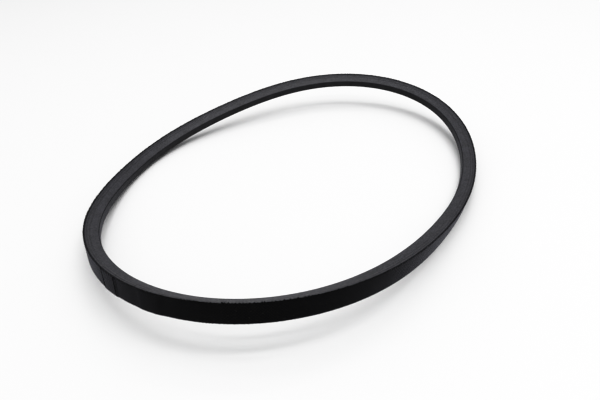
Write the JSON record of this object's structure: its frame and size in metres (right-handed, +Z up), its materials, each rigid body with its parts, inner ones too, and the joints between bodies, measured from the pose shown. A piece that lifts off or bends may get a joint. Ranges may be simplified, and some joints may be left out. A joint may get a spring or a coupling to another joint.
{
  "type": "v belt",
  "caption": "Endless raw-edge V-belt of wedge section: fabric back, rubber body with smooth cut flanks, lying as a slightly warped oval loop.",
  "frame": {"origin": "centre of the loop's bounding box in plan, on the surface that the belt lies on", "axes": "+X along the loop's long axis, +Z up out of the plane of the loop; the belt lies on its side, so one flank faces up and one faces down"},
  "size_m": [0.2886, 0.218, 0.0288],
  "materials": {
    "back_fabric": "matte rubber-filled bias weave",
    "base_fabric": "matte, rubber-faced, fine weave",
    "body_rubber": "ground matte, faint sheen",
    "adhesion_gum": "smooth matte",
    "polyester_cord": "twisted, dipped"
  },
  "bodies": {
    "root": {"outer_back_fabric": "back_fabric", "inner_back_fabric": "back_fabric", "extension_rubber": "body_rubber", "upper_adhesion_gum": "adhesion_gum", "tension_cord": "polyester_cord", "lower_adhesion_gum": "adhesion_gum", "compression_rubber": "body_rubber", "bottom_fabric": "base_fabric"}
  },
  "joints": []
}
